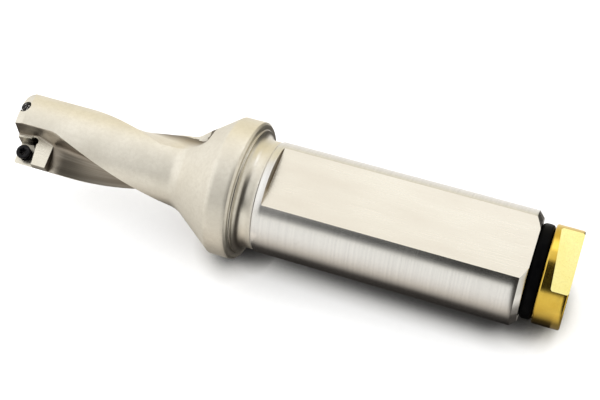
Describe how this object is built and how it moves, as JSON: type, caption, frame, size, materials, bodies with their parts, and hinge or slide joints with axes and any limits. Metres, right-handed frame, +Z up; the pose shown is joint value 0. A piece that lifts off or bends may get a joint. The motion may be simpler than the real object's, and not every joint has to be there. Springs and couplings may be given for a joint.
{
  "type": "indexable drill",
  "caption": "Short indexable drill body with helical chip flutes, empty insert pockets, a conical collar and a round shank with a clamping flat, closed by a brass coolant plug.",
  "frame": {"origin": "under the middle of the tool's bounding box, on the surface that the tool lies on", "axes": "+Z up; +X runs from the tip towards the rear of the shank, level with the surface; the tool lies on its flange rim and on the rear edge of its shank, tip raised by 2.9 degrees"},
  "size_m": [0.1032, 0.025, 0.0251],
  "materials": {
    "nickel_plated_steel": "satin nickel plating, ground bare on the shank",
    "black_oxide_steel": "black oxide, semi-gloss",
    "black_rubber": "moulded, slightly glossy",
    "brass": "turned and milled, bright"
  },
  "bodies": {
    "root": {"drill_body": "nickel_plated_steel", "outer_insert_screw": "black_oxide_steel", "centre_insert_screw": "black_oxide_steel", "seal_ring": "black_rubber", "coolant_plug": "brass"}
  },
  "joints": []
}
